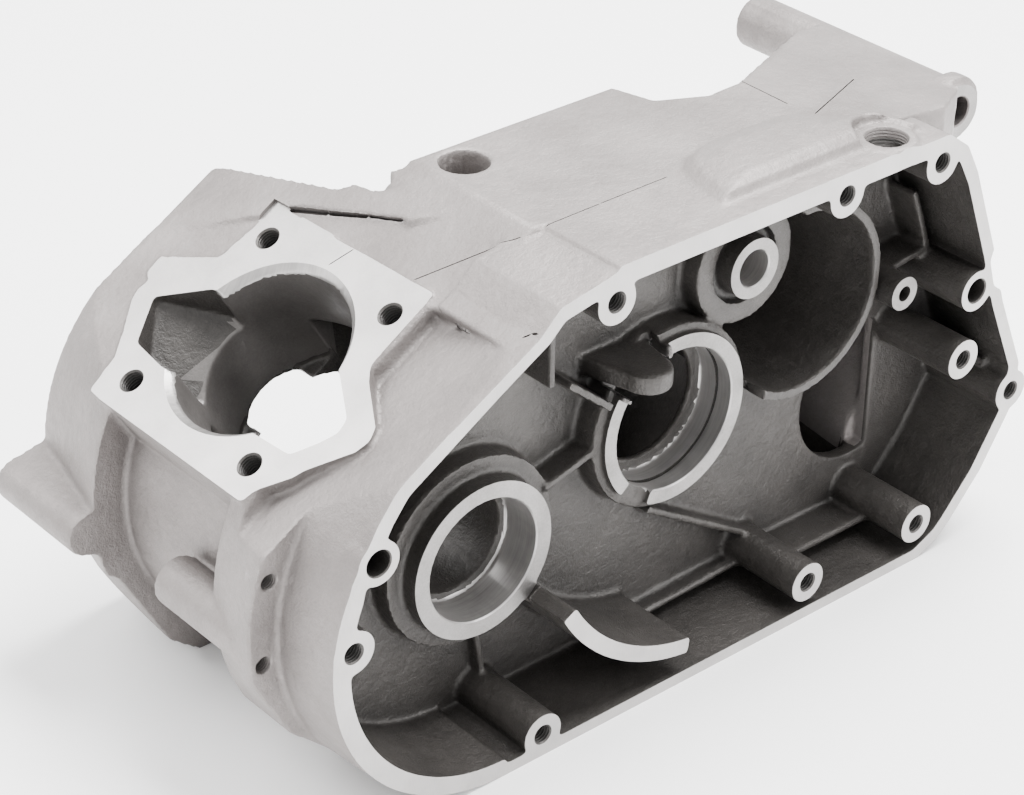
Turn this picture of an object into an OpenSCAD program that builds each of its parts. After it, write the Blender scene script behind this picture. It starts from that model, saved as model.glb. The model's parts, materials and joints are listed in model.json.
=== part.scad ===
// Crankcase of a small single-cylinder two-stroke engine, one aluminium casting.
// Origin: the crankshaft axis where it crosses the cover flange.
// +Y runs along the crankshaft into the casting, +X to the rear, +Z up.

/* [Clutch compartment] */
// Length of the cover flange
case_l = 281; // [260:1:300]
// Height of the cover flange
case_h = 156; // [148:1:164]
// Radius of the rounded nose of the flange
nose_r = 62; // [58:0.5:66]
// Wall around the nose
nose_t = 6; // [4:0.5:8]
// Wall along the other sides
wall_t = 4; // [3:0.25:6]
// Depth of the compartment floor
floor_y = 32; // [28:0.5:36]
// Thickness of the compartment floor
floor_t = 5; // [4:0.5:8]
// Radius of the bosses round the cover screws
lug_r = 7; // [6:0.25:8]
// Depth of the cover screw holes
screw_deep = 18; // [12:1:24]
// Radius of the three long cover posts
post_r = 6.8; // [6:0.1:8]
// Diameter of the M6 screw holes
screw_d = 6; // [5:0.1:7]
// Diameter of the two dowel holes
dowel_d = 8; // [6:0.1:9]

/* [Crankshaft bearing] */
// Diameter of the clutch-side bearing seat
crank_seat_d = 40; // [38:0.5:42]
// Wall of the bearing ring
crank_ring_t = 5.5; // [4:0.5:7]
// Distance of the ring face from the flange
crank_face_y = 18.7; // [14:0.1:22]
// Length of the bearing seat
crank_seat_l = 14; // [12:0.5:16]
// Diameter of the shaft passage behind the seat
crank_pass_d = 35; // [30:0.5:37]

/* [Clutch shaft bearing] */
// Distance of the clutch shaft behind the crankshaft
clutch_x = 76; // [72:0.5:80]
// Height of the clutch shaft above the crankshaft
clutch_z = 17.3; // [14:0.1:20]
// Diameter of the clutch shaft bearing seat
clutch_seat_d = 47; // [42:0.5:50]
// Wall of the bearing ring
clutch_ring_t = 4.8; // [4:0.1:6]
// Distance of the ring face from the flange
clutch_face_y = 20.5; // [16:0.5:24]
// Length of the bearing seat
clutch_seat_l = 14; // [12:0.5:16]

/* [Shift shaft bearing] */
// Distance of the shift shaft behind the crankshaft
shift_x = 106.2; // [104:0.1:110]
// Height of the shift shaft above the crankshaft
shift_z = 58.3; // [56:0.1:60]
// Bore of the shift shaft
shift_d = 12; // [10:0.5:14]
// Radius of the machined ring round the bore
shift_r = 9.9; // [8.5:0.1:12]

/* [Kick starter pocket] */
// Outer radius of the pocket's rim
kick_r = 33; // [30:0.5:35]
// Wall of the pocket
kick_t = 3.2; // [2:0.2:5]
// Depth of the pocket below the flange
kick_y = 58; // [45:0.5:70]

/* [Crank chamber] */
// Radius of the crank chamber
chamber_r = 46; // [42:0.5:48]
// Start of the crank chamber behind the flange
chamber_y = 61; // [56:0.5:64]
// Width of the crank chamber
chamber_w = 36.4; // [32:0.2:40]
// Outer radius of the casting round the chamber
waist_r = 63.3; // [60:0.1:65]
// Diameter of the generator-side bearing seat
drive_seat_d = 50; // [44:0.5:54]
// Slope of the front wall beside the cylinder face in degrees
front_slant_a = 12.5; // [8:0.5:16]
// Radius of the front rim
rim_r = 79.5; // [76:0.5:82]
// Distance of the rim face from the flange
rim_y = 24; // [20:0.5:28]
// Width of the front rim
rim_w = 26; // [20:0.5:32]
// Diameter of the M5 holes in the rim face
rim_hole_d = 5; // [4:0.1:6]

/* [Cylinder face] */
// Distance of the cylinder face from the crankshaft axis
face_up = 65.5; // [62:0.1:70]
// Distance of the cylinder axis behind the flange
face_y = 79; // [77:0.1:81]
// Forward lean of the cylinder axis in degrees
face_tilt = 31; // [25:0.5:35]
// Slope of the floors of the transfer ports in degrees
port_slope_a = 36; // [30:1:42]
// Spacing of the cylinder studs
stud_pitch = 58; // [54:0.5:60]
// Diameter of the M7 stud holes
stud_d = 7; // [6:0.1:8]
// Depth of the stud holes
stud_deep = 20; // [14:1:24]
// Bore for the cylinder spigot
spigot_d = 56; // [52:0.5:58]
// Chamfer at the mouth of the bore
spigot_chamfer = 2.3; // [1:0.1:3]

/* [Generator housing] */
// Radius of the housing at its near side
gen_r = 75; // [72:0.5:77]
// Radius of the housing at its open side
gen_far_r = 66; // [64:0.5:70]
// Distance of the housing's near side from the flange
gen_y = 108; // [104:0.5:112]
// Depth of the generator housing
gen_w = 40.5; // [34:0.5:44]
// Wall of the generator housing
gen_t = 6; // [4:0.5:9]
// Radius of the front lug's round edge
front_lug_r = 7.2; // [6:0.1:9]

/* [Gearbox] */
// Height of the top plate above the crankshaft
plate_z = 93.3; // [91:0.1:96]
// Thickness of the top plate
plate_t = 6; // [4:0.5:8]
// Distance of the gearbox's far edge from the flange
plate_y = 87; // [80:0.5:92]
// Wall of the gearbox
gear_wall_t = 5; // [4:0.5:8]
// Diameter of the hole in the top plate
plate_hole_d = 15.4; // [10:0.2:18]

/* [Rear mount] */
// Distance of the mounting tube behind the crankshaft
mount_x = 204; // [200:0.5:208]
// Height of the mounting tube above the crankshaft
mount_z = 77; // [75:0.5:80]
// Radius of the mounting tube
mount_r = 9; // [8:0.25:11]
// Bore of the mounting tube
mount_d = 10; // [8:0.25:12]
// Start of the tube behind the flange
mount_y = 30; // [27:0.5:33]
// Length of the mounting tube
mount_l = 92; // [85:0.5:98]

/* [Oil filler] */
// Diameter of the filler hole
filler_d = 13; // [11:0.25:14]
// Radius of the pad round the filler hole
filler_r = 9.5; // [8.5:0.25:11]

/* [Hidden] */
$fn = 96;

// One overrun serves all cuts
over = 1;

// Cover flange, from its lower front corner
flange_x = -nose_r - wall_t * 1.7;
flange_z = -nose_r - wall_t * 0.3;
nose_x = flange_x + nose_r;
nose_z = flange_z + nose_r;
back_y = floor_y + floor_t;

// Corners of the flange outline, as shares of its length and height
outline_shares = [
  [0.851, 0], [0.883, 0.026], [0.901, 0.055], [0.947, 0.147], [0.987, 0.263], [0.997, 0.378],
  [0.954, 0.553], [0.928, 0.69], [0.885, 0.889], [0.865, 0.955], [0.833, 0.997], [0.366, 0.997],
  [0.33, 0.984], [0.283, 0.968], [0.256, 0.922], [0.153, 0.817], [0.11, 0.782], [0.078, 0.734],
  [0.057, 0.686], [0.025, 0.588], [0.014, 0.5]
];
// Wall behind each of those corners, as shares of the wall
wall_shares = [
  1.2, 1.2, 1.25, 1.3, 1.2, 1.1, 1.15, 1.15, 1.2, 1.3, 1.35, 1.3, 1.2, 1.1, 1, 1, 1.2, 1.25, 1.3,
  1.3, 0
];

// Recess in the rear edge, above the dowel
recess_shares = [
  [0.93, 0.7], [0.924, 0.664], [0.935, 0.601], [0.953, 0.577], [1, 0.57], [1, 0.7]
];

// Cover screws and dowels, as shares of the flange's length and height
screw_shares = [[0.271, 0.05], [0.356, 0.933], [0.825, 0.941], [0.678, 0.955], [0.987, 0.318],
  [0.026, 0.446]];
dowel_shares = [[0.058, 0.61], [0.906, 0.607]];
post_shares = [[0.664, 0.086], [0.842, 0.092], [0.895, 0.454]];

// Turns of the two holes in the front rim
rim_hole_turns = [163.5, 184];

// Gaps in the clutch ring: where each starts and ends, and its depth as a share of the ring
ring_gap_turns = [[102, 143, 1.5], [-139, -112, 0.5]];

// Outline of the swelling on the top, as shares of the flange's length and the floor's depth
bulge_shares = [
  [0.278, 0.26], [0.288, 0.72], [0.299, 0.98], [0.32, 1.13], [0.352, 1.21], [0.39, 1.22],
  [0.47, 1.2], [0.487, 1.11], [0.505, 0.95], [0.535, 0.72], [0.562, 0.69], [0.575, 0.26]
];

// Low ribs on the floor: both ends and the depth of the top, as shares
rib_shares = [
  [0.34, 0.475, 0.43, 0.52, 0.72], [0.262, 0.2, 0.275, 0.03, 0.85],
  [0.9, 0.455, 0.98, 0.36, 0.3], [0.825, 0.64, 0.9, 0.655, 0.62],
  [0.9, 0.66, 0.87, 0.8, 0.62], [0.42, 0.045, 0.66, 0.06, 0.8],
  [0.5, 0.3, 0.66, 0.12, 0.8], [0.33, 0.72, 0.33, 0.92, 0.55],
  [0.66, 0.06, 0.86, 0.06, 0.55], [0.42, 0.61, 0.36, 0.7, 0.6]
];

function case_point(share) = [flange_x + share[0] * case_l, flange_z + share[1] * case_h];
function edge_normal(p, q) = [q[1] - p[1], p[0] - q[0]] / norm(q - p);
// Corner where the two edges at q meet once each has moved in by its wall
function inset_corner(p, q, r, wall_a, wall_b) =
  let (
    m = edge_normal(p, q),
    n = edge_normal(q, r),
    a = m * q - wall_a,
    b = n * q - wall_b,
    d = m[0] * n[1] - m[1] * n[0]
  )
  [(a * n[1] - b * m[1]) / d, (b * m[0] - a * n[0]) / d];
function inset(points, walls) = [
  for (i = [0:len(points) - 1])
    let (last = (i + len(points) - 1) % len(points), next = (i + 1) % len(points))
    inset_corner(points[last], points[i], points[next], walls[last], walls[i])
];

outline = concat(
  [[nose_x, nose_z], [nose_x, flange_z]],
  [for (share = outline_shares) case_point(share)]
);
outline_walls = concat([0, wall_t], [for (share = wall_shares) share * wall_t]);

// Shapes drawn on the cylinder face, as shares of the stud spacing:
// first along the crankshaft, then down the slope
pad_shares = [
  [0.62, -0.67], [-0.62, -0.7], [-0.63, -0.24], [-0.71, -0.155], [-0.94, 0.01], [-0.97, 0.08],
  [-0.955, 0.157], [-0.793, 0.37], [-0.766, 0.433], [-0.631, 0.6], [-0.622, 0.67], [0.576, 0.67],
  [0.678, 0.66], [0.7, 0.457], [0.795, 0.31], [0.91, 0.157], [0.934, 0.09], [0.917, 0.026],
  [0.974, -0.01], [0.98, -0.107], [0.65, -0.28], [0.616, -0.505]
];
// Area swept by the cutter beside the pad, up to the thin wall that it leaves
milled_shares = [
  [0.6, -0.6], [0.517, -0.7], [-0.143, -0.95], [-0.62, -0.7], [-0.97, 0.08], [-0.62, 0.67],
  [0.6, 0.67], [1.3, 0.5], [1.3, -0.1]
];
far_port_shares = [[0.2, -0.1], [0.531, -0.124], [0.812, 0.08], [0.666, 0.326], [0.4, 0.357],
  [0.2, 0.2]];
near_port_shares = [[-0.2, -0.1], [-0.505, -0.128], [-0.767, 0.052], [-0.786, 0.133],
  [-0.736, 0.228], [-0.647, 0.352], [-0.366, 0.366], [-0.2, 0.2]];

filler_x = case_l * 0.523;
filler_y = filler_r * 0.95;

// Top plate and its scooped end, as shares of the plate's length to the rear and of its reach
plate_x = case_l * 0.114;
plate_l = case_l * 0.39;
plate_shares = [[0.688, 1], [0.723, 0.83], [0.865, 0.74], [1, 0.75]];
// Far edge of the shoulder with its cut-outs, in the same shares
edge_shares = [
  [-0.284, 1.74], [-0.199, 1.137], [-0.16, 1.097], [-0.147, 1.003], [-0.13, 0.969],
  [-0.099, 0.944], [-0.081, 0.959], [-0.093, 1.018], [-0.08, 1.038], [-0.039, 0.987],
  [-0.016, 0.968], [0.007, 1.01]
];
// Scoop behind the plate, in the same shares
scoop_shares = [
  [0.688, 1.1], [0.688, 1], [0.723, 0.83], [0.865, 0.74], [1, 0.75], [1.24, 0.9], [1.46, 1.04],
  [1.46, 1.7], [0.688, 1.7]
];
// Underside of the front, behind the flange, as shares of the rim's radius
belly_shares = [
  [-1.1, 1.1], [-1.1, 0.05], [-1.006, -0.088], [-0.955, -0.19], [-0.83, -0.42], [-0.623, -0.604],
  [-0.06, -0.8], [0, -1]
];

// Height of the plane of the cylinder face, and where it meets the top plate
function slope_z(x) = face_up / cos(face_tilt) + x * tan(face_tilt);
bend_x = (plate_z - slope_z(0)) / tan(face_tilt);

function plate_point(share) = [plate_x + share[0] * plate_l, share[1] * plate_y];

// Slab across the crankshaft's direction, drawn in X and Z
module slab(y0, y1) {
  translate([0, y1, 0])
    rotate([90, 0, 0])
      linear_extrude(y1 - y0)
        children();
}

// Round bar along the crankshaft's direction
module rod(x, z, y0, y1, r) {
  translate([x, y1, z])
    rotate([90, 0, 0])
      cylinder(h = y1 - y0, r = r);
}

// Bar that tapers from one radius to another
module taper(x, z, y0, y1, r0, r1) {
  translate([x, y1, z])
    rotate([90, 0, 0])
      cylinder(h = y1 - y0, r1 = r1, r2 = r0);
}

// Local frame of the cylinder face: -X down the slope, Z along the cylinder
module on_face() {
  translate([0, face_y, 0])
    rotate([0, -face_tilt, 0])
      children();
}

// Everything above the slanted front wall between the cylinder face and the flange
module front_slant(depth) {
  pad_x = stud_pitch * 0.64;
  on_face()
    translate([0, -face_y, face_up * 1.05 - depth])
      rotate([-front_slant_a, 0, 0])
        translate([-2 * stud_pitch, -wall_t, 0])
          cube([2 * stud_pitch + pad_x, back_y + 2 * wall_t, face_up]);
}

module outline_2d() {
  translate([nose_x, nose_z])
    circle(r = nose_r);
  difference() {
    polygon(outline);
    polygon([for (share = recess_shares) case_point(share)]);
  }
}

module cavity_2d() {
  translate([nose_x, nose_z])
    circle(r = nose_r - nose_t);
  polygon(inset(outline, outline_walls));
}

// Hollow of the clutch compartment, which keeps its wall under the slanted front
module compartment_hollow() {
  difference() {
    slab(-over, floor_y)
      cavity_2d();
    front_slant(wall_t * 1.2);
  }
}

// Round boss drawn at each place of a table
module bosses_2d(shares, r) {
  for (share = shares)
    translate(case_point(share))
      circle(r = r);
}

// Walls and floor of the clutch compartment, with its flared nose
module compartment_body() {
  slab(0, wall_t * 2)
    bosses_2d(concat(screw_shares, dowel_shares), lug_r);
  slab(0, wall_t)
    outline_2d();
  slab(0, back_y)
    intersection() {
      outline_2d();
      belly_2d();
    }
  intersection() {
    taper(0, 0, wall_t * 1.75, rim_y, nose_r + wall_t * 1.6, nose_r + wall_t * 1.9);
    slab(0, rim_y)
      intersection() {
        belly_2d();
        translate([-2 * rim_r, flange_z])
          square([2 * rim_r - nose_r / 2, case_h * 0.8]);
      }
  }
}

// Outline that the front of the casting keeps within, behind the flange
module belly_2d() {
  polygon(concat(
    [[-case_l, 2 * rim_r]],
    [for (share = belly_shares) share * rim_r],
    [[case_l, -rim_r], [case_l, 2 * rim_r]]
  ));
}

// Thick rim in front of the crank chamber, with a flat near face
module front_rim() {
  intersection() {
    taper(0, 0, rim_y, rim_y + rim_w, rim_r, rim_r * 0.92);
    slab(rim_y, rim_y + rim_w)
      belly_2d();
    below_face();
  }
}

// Everything under the plane of the cylinder face
module below_face() {
  on_face()
    translate([-2 * gen_r, -2 * gen_r, -2 * gen_r])
      cube([4 * gen_r, 4 * gen_r, 2 * gen_r + face_up - over / 2]);
}

// Casting round the crank chamber, with the stub boss on its front
module waist() {
  rod(0, 0, floor_y, gen_y + gen_t, waist_r);
  stub_r = waist_r * 0.125;
  rod(-waist_r - stub_r * 0.9, -stub_r * 0.5, rim_y, rim_y + rim_w * 1.85, stub_r);
}

// Generator housing: a tapered drum with a flat toward the cylinder and one below
module generator_body() {
  far_y = gen_y + gen_w;
  lug_x = -gen_r * 1.02;
  lug_z = -gen_r * 0.065;
  intersection() {
    taper(0, 0, gen_y, far_y, gen_r, gen_far_r);
    slab(gen_y, far_y)
      polygon([
        [-gen_r * 1.2, gen_r * 0.4],
        [-gen_r * 1.2, -gen_r * 0.1],
        [-gen_r * 0.9, -gen_r * 0.333],
        [-gen_r * 0.62, flange_z],
        [gen_r * 1.2, flange_z],
        [gen_r * 1.2, gen_r * 1.2],
        [-gen_r * 1.2, gen_r * 1.2]
      ]);
    below_face();
  }
  rod(lug_x, lug_z, gen_y, far_y, front_lug_r);
  slab(gen_y, far_y)
    polygon([
      [lug_x, lug_z + front_lug_r],
      [lug_x, lug_z - front_lug_r],
      [-gen_r * 0.7, -gen_r * 0.36],
      [-gen_r * 0.7, gen_r * 0.1]
    ]);
}

// Everything behind the far edge of the shoulder
module shoulder_edge() {
  translate([0, 0, -plate_z])
    linear_extrude(3 * plate_z)
      polygon([
        for (share = concat(edge_shares, [[0.5, 1.01], [0.5, 1.74]])) plate_point(share)
      ]);
}

module face_2d(shares) {
  polygon([for (share = shares) [-share[1] * stud_pitch, share[0] * stud_pitch]]);
}

// Block that carries the cylinder
module cylinder_block() {
  on_face()
    translate([0, 0, face_up * 0.3])
      linear_extrude(face_up * 0.7)
        face_2d(pad_shares);
}

// Walls round the gearbox, under the top plate
module gearbox_body() {
  slab(floor_y, plate_y)
    polygon([
      [nose_x, nose_z],
      [0, flange_z],
      [case_l * 0.61, flange_z],
      [case_l * 0.7, nose_z + case_h * 0.2],
      [case_l * 0.64, plate_z - plate_t * 1.5],
      [case_l * 0.5, plate_z],
      [bend_x, plate_z],
      [0, slope_z(0) - over]
    ]);
  translate([0, 0, plate_z - plate_t])
    linear_extrude(plate_t)
      polygon(concat(
        [[plate_x, 0], [plate_x, plate_y]],
        [for (share = plate_shares) plate_point(share)],
        [[plate_x + plate_l, 0]]
      ));
}

// Shoulder that falls from the top plate to the far corner of the generator housing
module shoulder() {
  edge_r = plate_t / 4;
  far_y = gen_y + gen_w;
  lip = plate_t / 3;
  tops = [
    [-gen_far_r * 0.5, far_y - edge_r, slope_z(-gen_far_r * 0.5)],
    [0, far_y - edge_r, slope_z(0)],
    [0, gen_y, slope_z(0) + lip],
    [plate_x * 0.34, plate_y * 1.13, plate_z * 0.92],
    [plate_x * 0.45, plate_y * 0.79, slope_z(plate_x * 0.45) + lip],
    [bend_x * 1.05, plate_y - edge_r, plate_z - over / 4],
    [bend_x * 1.05, plate_y * 0.6, plate_z - over / 4]
  ];
  difference() {
    hull()
      for (top = tops, drop = [edge_r * 1.36, gen_r * 0.35])
        translate(top - [0, 0, drop])
          sphere(r = edge_r, $fn = 24);
    shoulder_edge();
    on_face()
      translate([0, 0, face_up - over / 4])
        linear_extrude(face_up)
          face_2d(milled_shares);
  }
}

// Gear room behind the compartment floor
module gearbox_cavity() {
  slab(back_y, plate_y - gear_wall_t)
    difference() {
      polygon([
        [plate_x, plate_z - plate_t * 2.5],
        [plate_x, flange_z + gear_wall_t],
        [case_l * 0.61 - gear_wall_t, flange_z + gear_wall_t],
        [case_l * 0.7 - gear_wall_t * 1.2, nose_z + case_h * 0.2],
        [case_l * 0.68 - gear_wall_t, plate_z * 0.65],
        [case_l * 0.35, plate_z * 0.65],
        [case_l * 0.35, plate_z - plate_t]
      ]);
      circle(r = waist_r - gear_wall_t);
    }
}

// Space behind the scooped edge of the top plate
module scoop() {
  translate([0, 0, plate_z * 0.72])
    linear_extrude(plate_z)
      polygon([for (share = scoop_shares) plate_point(share)]);
}

// Swelling over the gears behind the cover flange, with room round the filler pad
module bulge() {
  middle = [case_l * 0.4, floor_y * 0.6, plate_z * 0.94];
  difference() {
    translate(middle) {
      linear_extrude(plate_z * 0.06)
        bulge_2d(middle);
      translate([0, 0, plate_z * 0.06])
        linear_extrude(plate_z * 0.03, scale = 0.88)
          bulge_2d(middle);
      translate([0, 0, plate_z * 0.09])
        linear_extrude(plate_z * 0.02, scale = 0.65)
          scale(0.88)
            bulge_2d(middle);
    }
    translate([filler_x, filler_y, plate_z * 0.97])
      cylinder(h = plate_z, r = filler_r * 1.12);
  }
}

module bulge_2d(middle) {
  polygon([
    for (share = bulge_shares)
      [share[0] * case_l - middle[0], share[1] * floor_y - middle[1]]
  ]);
}

// Web and tube of the rear mount
module rear_mount() {
  rod(mount_x, mount_z, mount_y, mount_y + mount_l, mount_r);
  rod(mount_x, mount_z, mount_y + mount_r * 0.15, mount_y + mount_r * 0.8, mount_r * 1.25);
  web_x = plate_x + plate_l * 0.99;
  intersection() {
    slab(0, mount_y + mount_l)
      polygon([
        [web_x, plate_z],
        [web_x, plate_z - plate_t * 2.5],
        [mount_x, mount_z - mount_r * 0.8],
        [mount_x, mount_z + mount_r],
        [mount_x - mount_r * 0.4, mount_z + mount_r * 1.1]
      ]);
    translate([0, 0, mount_z / 2])
      linear_extrude(plate_z)
        polygon([
          [web_x, floor_y * 0.6],
          [web_x, plate_y * 0.75],
          [web_x + (mount_x - web_x) * 0.42, plate_y * 0.9],
          [web_x + (mount_x - web_x) * 0.8, plate_y * 1.03],
          [mount_x + mount_r, plate_y * 1.05],
          [mount_x + mount_r, mount_y + mount_r * 0.5],
          [web_x + (mount_x - web_x) * 0.7, floor_y * 0.6]
        ]);
  }
}

// Raised pad round the oil filler hole
module filler_pad() {
  translate([filler_x, filler_y, plate_z * 0.9])
    cylinder(h = plate_z * 0.105, r = filler_r);
}

// Ring that holds a bearing, with a rough collar at its root
module bearing_ring(x, z, face, seat_d, ring_t, collar_t) {
  ring_r = seat_d / 2 + ring_t;
  rod(x, z, face, back_y, ring_r);
  rod(x, z, face + collar_t * 1.1, back_y, ring_r + collar_t);
}

// Gap in the clutch ring beside the finger, and the notch at its foot
module ring_gaps() {
  gap_r = clutch_seat_d / 2 + 3 * clutch_ring_t;
  for (span = ring_gap_turns)
    slab(clutch_face_y - over, clutch_face_y + span[2] * clutch_ring_t)
      translate([clutch_x, clutch_z])
        polygon([
          [0, 0],
          gap_r * [cos(span[0]), sin(span[0])],
          gap_r * [cos(span[1]), sin(span[1])]
        ]);
}

// Low ribs on the floor, from one place to another with the depth of the top
module floor_ribs() {
  for (rib = rib_shares) {
    p = case_point([rib[0], rib[1]]);
    q = case_point([rib[2], rib[3]]);
    across = edge_normal(p, q) * wall_t * 0.3;
    slab(floor_y * rib[4], floor_y + over)
      polygon([p - across, q - across, q + across, p + across]);
  }
}

// Round columns under the cover screws, dowels and posts
module columns() {
  slab(0, floor_y + over)
    bosses_2d(concat(screw_shares, dowel_shares), lug_r);
  slab(0, floor_y + over)
    bosses_2d(post_shares, post_r);
}

// Curved oil rib beside the bottom wall
module oil_rib() {
  rib_in = case_l * 0.223;
  rib_out = rib_in * 1.085;
  rib_x = case_l * 0.264;
  rib_z = case_h * 0.095;
  slab(0, floor_y + over)
    translate([rib_x, rib_z])
      intersection() {
        difference() {
          circle(r = rib_out);
          circle(r = rib_in);
        }
        polygon([
          [0, 0],
          [-rib_out * 0.98, -rib_out * 0.54],
          [-rib_out, -rib_out * 1.5],
          [-rib_out * 0.15, -rib_out * 1.2]
        ]);
      }
}

// Tongue that stands out from the floor over the clutch shaft bearing
module finger() {
  tip_r = clutch_ring_t * 1.58;
  tip = [clutch_x * 0.775, clutch_face_y * 0.39 + tip_r];
  top_z = clutch_z * 2.6;
  finger_t = clutch_z * 0.375;
  difference() {
    translate([0, 0, top_z - finger_t])
      linear_extrude(finger_t) {
        translate(tip)
          circle(r = tip_r);
        polygon([
          [clutch_x * 0.61, floor_y + over],
          [tip[0] - tip_r, tip[1]],
          [tip[0] + tip_r, tip[1]],
          [clutch_x * 0.92, floor_y + over]
        ]);
      }
    rod(clutch_x, clutch_z, 0, back_y, clutch_seat_d / 2 + clutch_ring_t * 0.15);
  }
}

// Rim of the kick starter pocket
module kick_rim() {
  rim_top = clutch_face_y * 0.73;
  slab(rim_top, floor_y + over)
    difference() {
      intersection() {
        kick_circle_2d(kick_r);
        translate([shift_x * 0.98, 0])
          square(case_h);
      }
      kick_neighbours_2d();
    }
}

module kick_circle_2d(r) {
  translate([shift_x * 1.165, shift_z * 0.74])
    circle(r = r);
}

// Bosses that stand in the pocket's circle
module kick_neighbours_2d() {
  translate([shift_x, shift_z])
    circle(r = shift_r * 2.15);
  translate([clutch_x, clutch_z])
    circle(r = clutch_seat_d / 2 + clutch_ring_t * 1.8);
}

// Shell of the kick starter pocket behind the floor
module kick_shell() {
  slab(back_y - over, kick_y + kick_t)
    kick_circle_2d(kick_r);
}

module kick_pocket() {
  slab(-over, kick_y)
    difference() {
      intersection() {
        kick_circle_2d(kick_r - kick_t);
        cavity_2d();
      }
      kick_neighbours_2d();
    }
}

// Round opening from the compartment into the gear room
module gear_window() {
  window_r = case_h * 0.16;
  slab(floor_y - over, back_y + over)
    intersection() {
      translate([case_l * 0.6, -case_h * 0.08])
        circle(r = window_r);
      translate([case_l * 0.5, -window_r * 2])
        square([case_l * 0.125, window_r * 2.9]);
    }
}

// Boss that holds the shift shaft, on its stepped disc
module shift_boss() {
  rod(shift_x, shift_z, clutch_face_y, back_y, shift_r);
  difference() {
    rod(shift_x, shift_z, clutch_face_y * 1.2, back_y, shift_r * 2);
    rod(shift_x, shift_z, 0, clutch_face_y * 1.35, shift_r * 1.3);
  }
}

// Boss with a machined seat between the kick pocket and the rear wall
module ring_boss() {
  boss = case_point([0.826, 0.623]);
  boss_y = floor_y * 0.32;
  rod(boss[0], boss[1], boss_y, floor_y + over, post_r * 0.84);
}

// Bores with walls of their own: the tube, the top plate and the oil filler
module outer_bores() {
  rod(mount_x, mount_z, 0, 2 * gen_y, mount_d / 2);
  hole = plate_point([0.07, 0.877]);
  translate([hole[0], hole[1], plate_z - 2 * plate_t])
    cylinder(h = plate_z, d = plate_hole_d);
  translate([filler_x, filler_y, plate_z * 0.8])
    cylinder(h = plate_z, d = filler_d);
  boss = case_point([0.826, 0.623]);
  rod(boss[0], boss[1], 0, floor_y, post_r * 0.4);
}

// Top of the compartment lowered behind the filler
module rear_relief() {
  slab(floor_y / 2, back_y + over)
    polygon([
      [case_l * 0.55, plate_z * 1.2],
      [case_l * 0.556, plate_z * 0.96],
      [case_l * 0.72, plate_z * 0.86],
      [case_l * 0.72, plate_z * 1.2]
    ]);
}

module stud_holes() {
  on_face()
    for (x = [-1, 1], y = [-1, 1])
      translate([x * stud_pitch / 2, y * stud_pitch / 2, face_up - stud_deep])
        cylinder(h = stud_deep + over, d = stud_d);
}

// Bore for the cylinder with its chamfered mouth
module spigot_bore() {
  on_face() {
    translate([0, 0, chamber_r * 0.5])
      cylinder(h = face_up, d = spigot_d);
    translate([0, 0, face_up - spigot_chamfer])
      cylinder(
        h = spigot_chamfer + over,
        d1 = spigot_d,
        d2 = spigot_d + 2 * (spigot_chamfer + over)
      );
  }
}

// Transfer port beside the bore: straight walls down to a sloping floor
module port(shares, side, floor_up) {
  on_face()
    intersection() {
      translate([0, 0, floor_up * 0.6])
        linear_extrude(face_up)
          face_2d(shares);
      translate([-face_up, side * chamber_w / 2, floor_up])
        rotate([side * port_slope_a, 0, 0])
          translate([0, -2 * face_up, 0])
            cube([2 * face_up, 4 * face_up, 2 * face_up]);
    }
}

module crank_bores() {
  rod(0, 0, crank_face_y - over, crank_face_y + crank_seat_l, crank_seat_d / 2);
  rod(0, 0, crank_face_y, chamber_y + over, crank_pass_d / 2);
  rod(0, 0, chamber_y, chamber_y + chamber_w, chamber_r);
  rod(0, 0, chamber_y, gen_y + gen_w, drive_seat_d / 2);
  difference() {
    rod(0, 0, gen_y + gen_t, gen_y + gen_w + over, gen_far_r - gen_t);
    on_face()
      translate([0, 0, face_up * 0.55])
        linear_extrude(face_up)
          face_2d(pad_shares);
  }
}

// Bearing seat and passage of the clutch shaft, and the bore of the shift shaft
module shaft_bores() {
  seat_end = clutch_face_y + clutch_seat_l;
  rod(clutch_x, clutch_z, clutch_face_y, seat_end, clutch_seat_d / 2);
  rod(clutch_x, clutch_z, clutch_face_y, 2 * back_y, clutch_seat_d * 0.42);
  rod(shift_x, shift_z, 0, back_y, shift_d / 2);
}

module screw_holes() {
  slab(-over, screw_deep)
    bosses_2d(concat(screw_shares, post_shares), screw_d / 2);
  slab(-over, screw_deep)
    bosses_2d(dowel_shares, dowel_d / 2);
  for (turn = rim_hole_turns)
    rotate([0, -turn, 0])
      rod(rim_r * 0.94, 0, rim_y - over, rim_y + screw_deep * 0.4, rim_hole_d / 2);
}

// Outer form of the casting before its hollows are cut
module casting() {
  compartment_body();
  front_rim();
  waist();
  generator_body();
  gearbox_body();
  shoulder();
  bulge();
  filler_pad();
}

// What stands on the floor of the compartment
module floor_features() {
  bearing_ring(0, 0, crank_face_y, crank_seat_d, crank_ring_t, crank_ring_t);
  difference() {
    bearing_ring(
      clutch_x, clutch_z, clutch_face_y, clutch_seat_d, clutch_ring_t, clutch_ring_t / 2
    );
    ring_gaps();
  }
  columns();
  oil_rib();
  floor_ribs();
  finger();
  kick_rim();
  ring_boss();
}

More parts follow.
